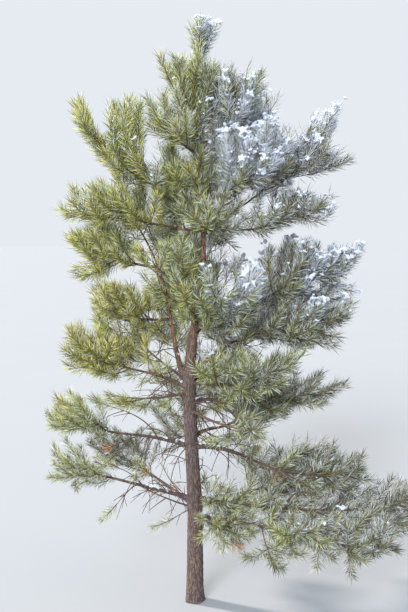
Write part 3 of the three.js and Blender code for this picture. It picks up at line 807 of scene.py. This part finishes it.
def limbRadius(limb, share):
    collar = np.exp(-share * limb["curve"].length / (bark["collarLength"] + limb["radius"]))
    return limb["radius"] * (1 - (1 - boughTaper) * share + bark["collarSwell"] * collar)


def barkedWood():
    wood = added(bpy.ops.curve.primitive_bezier_curve_add, radius=0.1)
    wood.name = "barkedWood"
    line = wood.data
    line.dimensions, line.bevel_depth, line.bevel_resolution, line.use_fill_caps = "3D", 1, 4, True
    line.splines.clear()
    foot = np.arange(bark["from"], bark["flareTo"], bark["flareStep"])
    height = np.concatenate([foot, np.arange(bark["flareTo"], trunkTop, bark["step"]), [trunkTop]])
    centre, radius = trunkAt(np.maximum(height, 0))
    centre[:, 2] = height
    runs = [(centre, radius + bark["footFlare"] * np.exp(-np.maximum(height, 0) / bark["flareHeight"]))]
    share = np.linspace(0, 1, 16)
    runs += [(limb["curve"].at(share), limbRadius(limb, share)) for limb in limbs.values()]
    for points, radii in runs:
        spline = line.splines.new("POLY")
        spline.points.add(len(points) - 1)
        spline.points.foreach_set("co", np.c_[points * mm, np.ones(len(points))].ravel())
        spline.points.foreach_set("radius", radii * mm)
    bpy.ops.object.convert(target="MESH")
    applyModifier(wood, "REMESH", mode="VOXEL", voxel_size=bark["voxel"] * mm)
    applyModifier(wood, "SMOOTH", factor=0.5, iterations=3)
    carveBark(wood.data)
    bpy.ops.object.mode_set(mode="EDIT")
    bpy.ops.mesh.select_all(action="SELECT")
    bpy.ops.mesh.bisect(plane_co=(0, 0, 0), plane_no=(0, 0, 1), use_fill=True, clear_inner=True)
    bpy.ops.object.mode_set(mode="OBJECT")
    bpy.ops.object.shade_smooth()
    wood.data.materials.clear()
    wood.data.materials.append(barkFinish())
    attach(wood, "root")
    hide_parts("trunk", *limbs)
    print("barked wood", len(wood.data.polygons), "faces")


def carveBark(mesh):  # plates parted by upright fissures low down, thin flakes above and on the limbs
    at, out = cornersOf(mesh) / mm, cornersOf(mesh, "normal")
    away, radius = besideTrunk(at)
    limb = np.clip((away - radius - bark["limbPast"]) / bark["limbWithin"], 0, 1)
    thick = np.clip(radius / bark["fullDepthAt"], 0, 1) ** bark["thinning"]
    depth = bark["plateDepth"] * thick * (1 - limb) + bark["flakeDepth"] * (0.35 + 0.65 * limb)
    noise.seed_set(seeds["bark"])  # else noise_vector's offsets come from the clock
    relief = np.zeros(len(at))
    for i, (x, y, z) in enumerate(at):
        p = Vector((x, y, z / bark["plateStretch"])) / bark["plateWidth"]
        p += noise.noise_vector(p * bark["warp"]) * bark["warp"]
        near = noise.voronoi(p)[0]
        chips = bark["chips"] * noise.noise(p * bark["chipSize"])
        relief[i] = min(1, (near[1] - near[0]) * bark["edge"]) * 0.8 + chips
    turn = np.arctan2(at[:, 1], at[:, 0]) * bark["flareLobes"]
    lobes = bark["lobeDepth"] * np.exp(-np.maximum(at[:, 2], 0) / bark["flareHeight"]) * np.cos(turn)
    at += out * (depth * (relief - bark["level"]) + lobes * (1 - limb))[:, None]
    keepValues(mesh, {"relief": relief, "limb": limb})
    moveCorners(mesh, at)


barkedWood()


# twigs: the woody core of every shoot

twig = {
    "sideRadius": 2.4, "firstSize": 1.15, "sizeLoss": 0.15, "tipShare": 0.55, "leastTip": 1.6, "stemTip": 2.2,
    "core": (24, 5), "bare": (16, 6), "bareTipShare": 0.45, "leastBareTip": 0.9,  # length of a step, sides
    "fine": (1.5, 1.1, 30, 4),  # radius, at the tip, then as above
    "budLength": 11, "stemBud": 1.1, "sideBud": 0.85, "budRadius": 2.5,
    "wood": "#6d5546", "shade": "#43352e", "young": "#858151", "bareWood": "#5f4f47", "bareShade": "#392e2a",
    "bud": "#a4694c", "budShade": "#7a4a38",
    "grain": 240, "patches": 12, "roughness": (0.7, 0.9), "bump": (0.5, 0.001),
}


def tube(curve, fromRadius, toRadius, step, sides):
    rings = max(3, int(curve.length / step) + 1)
    share = np.linspace(0, 1, rings)
    at, ahead = curve.at(share), curve.ahead(share)
    side, over = (way[:, None] for way in sideways(curve, ahead))
    turn = (np.arange(sides) * 2 * math.pi / sides)[:, None]
    radius = (fromRadius + (toRadius - fromRadius) * share)[:, None, None]
    ring = at[:, None] + radius * (side * np.cos(turn) + over * np.sin(turn))
    corners = np.vstack([ring.reshape(-1, 3), at[:1], at[-1:] + ahead[-1:] * toRadius])
    a = np.arange(sides)
    b = (a + 1) % sides
    faces = [np.c_[a * 0 + rings * sides, b, a]]
    for k in range(rings - 1):
        low, high = k * sides, (k + 1) * sides
        faces += [np.c_[a + low, b + low, b + high], np.c_[a + low, b + high, a + high]]
    last = (rings - 1) * sides
    faces.append(np.c_[a + last, b + last, a * 0 + rings * sides + 1])
    return corners, np.vstack(faces), np.concatenate([np.repeat(share, sides), [0, 1]])


def twigFinish(name, light, dark, young):
    f = Finish(name)
    grain, patch = f.speckle(twig["grain"]), f.speckle(twig["patches"])
    colour = f.mix(f.spread(grain * 0.7 + patch * 0.3, 0.4, 0.6), twig[dark], twig[light])
    colour = f.mix(f.spread(f.attribute("along"), 0.35, 0.95, 0, 0.85), colour, twig[young])
    roughness = f.spread(grain, 0.3, 0.7, *twig["roughness"])
    return f.surface(colour, roughness, {"Normal": f.bump(grain, *twig["bump"])})


def joinTubes(name, tubes, finish):
    first = np.cumsum([0] + [len(corners) for corners, _, _ in tubes])
    corners, faces, along = zip(*tubes)
    faces = np.vstack([rows + start for rows, start in zip(faces, first)])
    values = {"along": np.concatenate(along)}
    meshPiece(name, np.vstack(corners), faces, finish, "bough_bark", values, True)
    print(name, len(tubes), "with", len(faces), "triangles")


def twigCores():
    tubes = []
    for shoot in sprays:
        line, order, sizes = shoot["curve"], shoot["order"], twig["fine"]
        if order < 3:
            size = twig["sideRadius"] * (twig["firstSize"] - twig["sizeLoss"] * order)
            radius = size if order else shoot["radius"]
            tip = max(twig["leastTip"], radius * twig["tipShare"]) if order else twig["stemTip"]
            sizes = (radius, tip, *twig["core"])
        shoot["core"] = float(trunkAt(line.root[2])[1]) if "onTrunk" in shoot else sizes[0]
        tubes.append(tube(line, *sizes))
    joinTubes("twigs", tubes, twigFinish("twigBark", "wood", "shade", "young"))
    tubes = []
    for line, radius in bareTwigs:
        tip = max(twig["leastBareTip"], radius * twig["bareTipShare"])
        tubes.append(tube(line, radius, tip, *twig["bare"]))
    joinTubes("bareTwigs", tubes, twigFinish("bareTwigBark", "bareWood", "bareShade", "bareWood"))


def addBuds():
    tubes = []
    for shoot in sprays:
        if "onTrunk" in shoot or leftOpen(shoot["curve"].tip)[0]:
            continue
        size = twig["budLength"] * twig["sideBud" if shoot["order"] else "stemBud"]
        bud = bentOut(shoot["curve"].at(1.0), shoot["curve"].ahead(1.0) * size)
        corners, faces, along = tube(bud, twig["budRadius"], twig["budRadius"], size / 2, 4)
        swell = np.interp(along, [0, 0.5, 1], [0.6, 1, 0.15])
        corners[:-2] += (corners - bud.at(along))[:-2] * (swell[:-2, None] - 1)
        tubes.append((corners, faces, along))
    joinTubes("buds", tubes, twigFinish("budScales", "bud", "budShade", "bud"))


twigCores()
addBuds()


# needles in sprays

needle = {
    "length": 55, "halfWidth": 1.05,  # mm
    "lowLeft": 0.68, "lowRight": 0.92, "lowTo": (500, 1100), "fine": 0.95,  # shorter low down
    "every": 2.05, "leastPairs": 6, "tipCrowd": 1.05, "pairSpread": 0.22, "turnSpread": 0.12,
    "leanAtRoot": 56, "leanAtTip": 30, "leanPower": 1.4, "leanSpread": 8, "fan": 9, "fanPower": 8,
    "lift": 0.08, "curl": 4, "bendAt": 0.42, "shortest": 0.78, "longest": 1.1, "inCore": 0.6,
    "leftInGaps": 0.15, "pastBox": 8, "inPiece": 48000,  # needles in one piece, at four triangles each
    # the needle's lower half is darkened towards its root: its brown sheath at the foot, and painted shade
    # inside the brush
    "sheathAndInnerShade": "#54482a", "rime": "#c2cbd8", "patches": 9, "roughness": (0.36, 0.6),
}
# painted light, apart from Brown (dead needles): the tints run from sunlit yellow-green down to shaded
# grey-green
needleTints = {  # light, dark, share of frosted needles, least sunlight
    "Sunlit": ("#cdcb72", "#60642f", 0.15, 0.8), "YellowGreen": ("#c3c877", "#565f32", 0.19, 0.56),
    "Green": ("#c0c588", "#505834", 0.21, 0.34), "Deep": ("#b4b88a", "#40462f", 0.2, 0.14),
    "Grey": ("#a8aa8f", "#30342a", 0.2, -9), "Brown": ("#c08f60", "#7d563a", 0.0, 9),
    "Gold": ("#cbc466", "#67682f", 0.14, 9),
}
# how much sun a spray gets from its place; this picks its needles' tint, painting sunlight and shade into
# their colour
sunlight = {
    "middle": 0.54, "spread": 0.3, "rightwards": 1100, "backwards": 2600,
    "shadeAbove": 1080, "shade": ([20, 130], [0, 0.25]),  # the upper right is in shade
    "heights": [500, 1000, 1200], "lowRight": [-0.08, -0.12, 0], "lowLeft": [-0.85, 0, 0],
    # where the low sun reaches in
    "goldShare": 0.4, "goldOver": 0.6, "goldLeftOf": -130, "goldHeights": (830, 1480),
}
seeded = np.random.default_rng(7)


def needlesAlong(curve, bare, core, length):
    count = max(needle["leastPairs"], int(curve.length * (1 - bare) / needle["every"]))
    place = (np.arange(count) + seeded.uniform(0.2, 0.8, count)) / count * needle["tipCrowd"]
    share = np.repeat(bare + (1 - bare) * np.minimum(1, place), 2)
    at, ahead = curve.at(share), curve.ahead(share)
    side, over = sideways(curve, ahead)
    turn = np.repeat(np.arange(count) * goldenTurn + seeded.uniform(0, fullTurn), 2)
    turn = turn + np.tile([-0.5, 0.5], count) * needle["pairSpread"]
    turn = turn + seeded.normal(0, needle["turnSpread"], 2 * count)
    outward = side * np.cos(turn)[:, None] + over * np.sin(turn)[:, None]
    place = (share - bare) / (1 - bare)
    lean = needle["leanAtRoot"] + (needle["leanAtTip"] - needle["leanAtRoot"]) * place ** needle["leanPower"]
    loose = needle["leanSpread"] + needle["fan"] * place ** needle["fanPower"]
    lean = np.radians(lean + seeded.normal(0, 1, 2 * count) * loose)
    curl = math.radians(needle["curl"])
    far = length * seeded.uniform(needle["shortest"], needle["longest"], 2 * count)
    far = far * (0.82 + 0.18 * np.minimum(1, place * 4))  # shorter at the foot

    def toward(angle):
        direction = ahead * np.cos(angle)[:, None] + outward * np.sin(angle)[:, None]
        direction[:, 2] += needle["lift"]
        return unit(direction)

    root = at + outward * core * needle["inCore"]
    middle = root + toward(lean + curl) * (far * needle["bendAt"])[:, None]
    tip = middle + toward(lean - curl) * (far * (1 - needle["bendAt"]))[:, None]
    away, radius = besideTrunk(tip)
    clear = (away > radius + 2) | (tip[:, 2] > trunkTop)
    kept = seeded.uniform(0, 1, 2 * count) < needle["leftInGaps"]
    clear &= ~(leftOpen(tip) | leftOpen(middle)) | kept
    return root[clear], middle[clear], tip[clear]


# painted light: a spray's tint comes from the sun its place gets, lighter and yellower where lit, darker and
# greyer in shade
def tintOf(shoot, roll):
    x, y, z = shoot["curve"].at(0.7)
    sun = sunlight["middle"] - x / sunlight["rightwards"] - y / sunlight["backwards"]
    sun += roll(-sunlight["spread"], sunlight["spread"])
    if z > sunlight["shadeAbove"]:
        sun -= float(np.interp(x, *sunlight["shade"]))
    sun += float(np.interp(z, sunlight["heights"], sunlight["lowRight" if x > 0 else "lowLeft"]))
    low, high = sunlight["goldHeights"]
    gold = roll(0, 1) < sunlight["goldShare"] and sun > sunlight["goldOver"]
    if gold and x < sunlight["goldLeftOf"] and low < z < high:
        return "Gold"
    return next(name for name, row in needleTints.items() if sun > row[-1])


def needleFinish(name, light, dark, frosted):
    f = Finish("needles" + name)
    tone, along, patch = f.attribute("tone"), f.attribute("along"), f.speckle(needle["patches"])
    colour = f.mix(f.spread(tone * 0.85 + patch * 0.15, 0.28, 0.66), dark, light)
    # darker towards the root over the lower half: the real brown sheath, and painted shade inside the brush
    colour = f.mix(f.spread(along, 0.0, 0.5, 0.75, 0.0), colour, needle["sheathAndInnerShade"])
    rime = f.spread(tone, 1 - frosted - 0.02, 1 - frosted + 0.02) * f.spread(along, 0.15, 0.6)
    colour = f.mix(rime * 0.85, colour, needle["rime"])
    return f.surface(colour, f.spread(tone, 0, 1, *needle["roughness"]), {"Specular IOR Level": 0.5})


def needleMesh(name, root, middle, tip, material, slot, halfWidth):
    count = len(root)
    bow = middle - (root + (tip - root) * needle["bendAt"])  # the needle is flat outside, keeled inside
    side = unit(np.cross(tip - root, bow)) * halfWidth
    corners = np.stack([root, middle + side, middle - side, tip], 1).reshape(-1, 3)
    pattern = np.array([(0, 2, 1), (3, 1, 2), (0, 3, 2), (0, 1, 3)])
    faces = (pattern[None] + 4 * np.arange(count)[:, None, None]).reshape(-1, 3)
    values = {
        "tone": np.repeat(seeded.uniform(0, 1, count), 4),
        "along": np.tile([0, needle["bendAt"], needle["bendAt"], 1.0], count),
    }
    return meshPiece(name, corners, faces, material, slot, values)


def dealNeedles(roll):  # needles by tint, and the snow on the shoots
    byTint, laid = {name: [] for name in (*needleTints, "InSnow")}, []
    for shoot in sprays:
        line, tip = shoot["curve"], shoot["curve"].tip
        vigour = np.interp(tip[2], needle["lowTo"], [needle["lowLeft" if tip[0] < 0 else "lowRight"], 1])
        length = needle["length"] * vigour * (needle["fine"] if shoot["order"] == 3 else 1)
        rows = needlesAlong(line, shoot["bare"], shoot["core"], length)
        amount = min(snowAt(line.at(0.7)) * roll(0.6, 1.2), 1)
        if amount > roll(0, 1) * snow["needed"]:
            rise = unit(rows[2] - rows[0])[:, 2]
            share = snow["coatedShare"] * amount
            white = (rise > snow["leastRise"]) & (seeded.uniform(0, 1, len(rise)) < share)
            byTint["InSnow"].append([part[white] for part in rows])
            rows = [part[~white] for part in rows]
            laid.append(layOnShoot(shoot, amount))
        byTint[shoot["tint"] or tintOf(shoot, roll)].append(rows)
    return byTint, laid


def addNeedles():
    byTint, laid = dealNeedles(dice(seeds["needles"]))
    total, fallen = 0, snowFinish()
    for name, bunch in byTint.items():
        lines = [np.vstack(parts) for parts in zip(*bunch)]
        keep = inBox(lines[2], needle["pastBox"])
        lines = [points[keep] for points in lines]
        white = name == "InSnow"
        finish = fallen if white else needleFinish(name, *needleTints[name][:3])
        slot, width = ("snow", snow["coatedHalfWidth"]) if white else ("needles", needle["halfWidth"])
        parts = math.ceil(len(lines[0]) / needle["inPiece"])
        for k, rows in enumerate(np.array_split(np.arange(len(lines[0])), parts)):
            ends = (points[rows] for points in lines)
            piece = needleMesh(f"needles{name}{k + 1}", *ends, finish, slot, width)
            if total == 0:
                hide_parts(*masses)
            total += len(rows)
        print("needles" + name, len(lines[0]), "in", parts, "pieces")
    print("needles in all", total)
    at, radius = (np.concatenate([part[k] for part in laid + layOnLedges()]) for k in range(2))
    for name, low, high in snow["pieces"]:
        chosen = (at[:, 2] > low) & (at[:, 2] <= high)
        addSnow(name, fallen, at[chosen], radius[chosen])


# snow on the shoots, the boughs and in the forks

snow = {
    "lumpRadius": 7, "squash": 0.8, "every": 11, "rise": 18, "inClump": 6, "voxel": 4.4, "ruffle": 3.0,  # mm
    "coatedHalfWidth": 1.9, "coatedShare": 0.72, "leastRise": -0.1, "needed": 0.8, "sift": 0.03,
    "along": (0.1, 1.08), "tipwards": 0.55, "aside": (10, 10, 5), "risesBy": (0.4, 1.3), "sizes": (0.6, 1.2),
    "capsOver": 0.3, "capAhead": 30, "capAside": (13, 13, 7), "capRise": 10, "capSizes": (1, 0.8, 0.7),
    "onLedge": 15, "bulge": 0.16, "waves": 5, "pastBox": 6, "ruffles": (5, 2.3),
    "light": "#ced5e0", "shade": "#a9b2c1", "patches": 30, "grain": 420,
    "roughness": (0.6, 0.85), "bump": (0.5, 0.002),
    "pieces": (("snowHigh", 1860, 9999), ("snowMiddle", 1500, 1860), ("snowLow", -9, 1500)),  # by height
}
# where it lies: middle to the right, middle height, half width, half height, how thick
snowZones = [
    (250, 1880, 230, 240, 1.2), (560, 1665, 190, 125, 0.95), (640, 1860, 90, 90, 1.7),
    (500, 1320, 220, 150, 0.85), (650, 1490, 70, 70, 1.3), (560, 480, 330, 150, 0.27),
    (90, 2360, 60, 55, 2.6), (36, 2275, 40, 30, 1.6), (190, 1350, 140, 130, 0.85), (550, 2040, 90, 75, 2.6),
    (-500, 2050, 50, 50, 1.2), (-150, 2250, 60, 50, 0.6), (-170, 1760, 70, 50, 0.4), (60, 1560, 80, 60, 0.5),
]
# bough or side stem, from and to as shares of it, radius of the lumps
snowLedges = [
    ("low_left", 0.05, 0.7, 7), ("low_right", 0.1, 0.8, 9), ("low_right_front", 0.1, 0.8, 8),
    ("second_left", 0.1, 0.6, 6), ("second_right", 0.2, 0.7, 7), ("low_back_right", 0.1, 0.9, 8),
    ("fourth_right", 0.3, 0.9, 7), ("sixth_right", 0.2, 0.9, 7), ("sixth_right_rising", 0.2, 0.9, 8),
    ("fifth_right", 0.2, 0.9, 8), ("fourth_left", 0.05, 0.4, 6), ("side_stem_lower", 0.1, 0.4, 7),
]


def snowAt(place):
    x, _, z = place
    laid = [thick * math.exp(-((x - right) / wide) ** 2 - ((z - height) / tall) ** 2)
            for right, height, wide, tall, thick in snowZones]
    return max(laid + [snow["sift"]])


def clumped(at, radius):  # each lump as a clump of smaller ones
    many = snow["inClump"]
    shift = seeded.normal(0, 1, (len(at), many, 3)) * [1, 1, 0.6]
    places = at[:, None] + shift * radius[:, None, None]
    sizes = radius[:, None] * seeded.uniform(0.45, 1.05, (len(at), many))
    return places.reshape(-1, 3), sizes.ravel()


def layOnShoot(shoot, amount):  # the lumps on one shoot: places and radii
    curve, bare = shoot["curve"], shoot["bare"]
    count = int(curve.length * (1 - bare) / snow["every"] * (0.35 + 0.65 * amount) + 0.5)
    share = bare + (1 - bare) * seeded.uniform(*snow["along"], count) ** snow["tipwards"]
    at = curve.at(np.minimum(share, 1)) + seeded.normal(0, 1, (count, 3)) * snow["aside"]
    at += curve.ahead(1.0) * (np.maximum(share - 0.8, 0) * curve.length * 0.5)[:, None]
    at[:, 2] += snow["rise"] * seeded.uniform(*snow["risesBy"], count)
    radius = snow["lumpRadius"] * seeded.uniform(*snow["sizes"], count) * (0.6 + 0.3 * amount)
    if amount > snow["capsOver"]:  # caps on the open end
        fan = curve.ahead(1.0) * snow["capAhead"] + seeded.normal(0, 1, (3, 3)) * snow["capAside"]
        at = np.vstack([at, curve.tip + (fan + up(snow["capRise"]))])
        radius = np.append(radius, snow["lumpRadius"] * np.array(snow["capSizes"]))
    carried = ~leftOpen(at)
    return clumped(at[carried], radius[carried])


def layOnLedges():
    laid = []
    for name, first, last, radius in snowLedges:
        limb = limbs.get("bough_" + name) or limbs[name]
        count = int(limb["curve"].length * (last - first) / snow["onLedge"])
        share = seeded.uniform(first, last, count)
        at = limb["curve"].at(share) + seeded.normal(0, 2, (count, 3))
        at[:, 2] += limbRadius(limb, share) + 1
        laid.append(clumped(at, radius * seeded.uniform(0.5, 1.1, count) * 0.8))
    for limb in limbs.values():  # in the forks with the trunk
        line = limb["curve"]
        share = (float(trunkAt(line.root[2])[1]) + 5) / line.length
        fork = line.at(share) + [0, 0, float(limbRadius(limb, share))]
        laid.append(clumped(fork[None], seeded.uniform(4, 7, 1)))
    return laid


def snowFinish():
    f = Finish("freshSnow")
    soft, grain = f.speckle(snow["patches"]), f.speckle(snow["grain"], 4.0)
    colour = f.mix(f.spread(soft * 0.6 + grain * 0.4, 0.35, 0.6), snow["shade"], snow["light"])
    return f.surface(colour, f.spread(grain, 0.3, 0.7, *snow["roughness"]), {
        "Normal": f.bump(grain, *snow["bump"]), "Specular IOR Level": 0.3,
        "Subsurface Weight": 0.5, "Subsurface Radius": (1, 1, 1), "Subsurface Scale": 0.02})


def addSnow(name, finish, at, radius):
    ball = added(bpy.ops.mesh.primitive_ico_sphere_add, subdivisions=2, radius=1).data
    sphere, faces = cornersOf(ball), np.array([list(face.vertices) for face in ball.polygons])
    bpy.ops.object.delete()
    ridge = unit(seeded.normal(0, 1, (len(at), 2, 3)))
    waves = np.einsum("nkd,vd->nvk", ridge, sphere) * snow["waves"] + seeded.uniform(0, 6, (len(at), 1, 2))
    bulge = 1 + snow["bulge"] * np.sin(waves).sum(2)
    corners = at[:, None] + sphere * bulge[..., None] * radius[:, None, None] * [1, 1, snow["squash"]]
    corners = corners[inBox(corners, snow["pastBox"]).all(1)]
    triangles = (faces[None] + len(sphere) * np.arange(len(corners))[:, None, None]).reshape(-1, 3)
    lumps = meshPiece(name, corners.reshape(-1, 3), triangles, finish, "snow", {}, True)
    applyModifier(lumps, "REMESH", mode="VOXEL", voxel_size=snow["voxel"] * mm, use_smooth_shade=True)
    corners, out = cornersOf(lumps.data) / mm, cornersOf(lumps.data, "normal")
    broad, small = snow["ruffles"]
    ruffle = [noise.noise(place / broad) + 0.6 * noise.noise(place / small) for place in map(Vector, corners)]
    moveCorners(lumps.data, corners + out * (np.array(ruffle) * snow["ruffle"])[:, None])
    print(name, len(at), "lumps", len(lumps.data.polygons), "faces")


addNeedles()


# floor, light and camera

stageLook = {
    "floor": "#a0a3a8", "floorShade": "#9ba0a6", "sky": "#e6ebf2", "skyStrength": 1.0,
    "keyPower": 5.0, "keyAngle": 6, "keyFrom": (-0.8, 0.36, 0.5), "keyTint": (1.0, 0.94, 0.84),
    "fillPower": 4.3, "fillAngle": 24, "fillFrom": (-0.3, -0.85, 0.42), "fillTint": (0.95, 0.97, 1.0),
    "eye": (0.039, -3.462, 1.579), "eyeTilt": 5.44, "lens": 50,
}


def addStage():
    floor = added(bpy.ops.mesh.primitive_circle_add, vertices=96, radius=60, fill_type="NGON")
    floor.name = "floor"
    f = Finish("paleFloor")
    colour = f.mix(f.speckle(1.5), stageLook["floor"], stageLook["floorShade"])
    floor.data.materials.append(f.surface(colour, 0.9, {}))
    world = bpy.data.worlds.new("paleSky")
    bpy.context.scene.world = world
    world.use_nodes = True
    sky = world.node_tree.nodes["Background"]
    sky.inputs["Color"].default_value = rgb(stageLook["sky"])
    sky.inputs["Strength"].default_value = stageLook["skyStrength"]
    for name in ("key", "fill"):
        source = Vector(stageLook[name + "From"])
        sun = added(bpy.ops.object.light_add, type="SUN", location=source * 6)
        sun.name = name + "Light"
        sun.rotation_euler = source.to_track_quat("Z", "Y").to_euler()
        sun.data.energy, sun.data.color = stageLook[name + "Power"], stageLook[name + "Tint"]
        sun.data.angle = math.radians(stageLook[name + "Angle"])


def addCamera():
    tilt = math.radians(90 - stageLook["eyeTilt"])
    camera = added(bpy.ops.object.camera_add, location=stageLook["eye"], rotation=(tilt, 0, 0))
    camera.data.lens, camera.data.sensor_width = stageLook["lens"], 36  # long side of the frame
    bpy.context.scene.camera = camera
    bpy.context.scene.view_settings.view_transform = "Standard"


addStage()
addCamera()
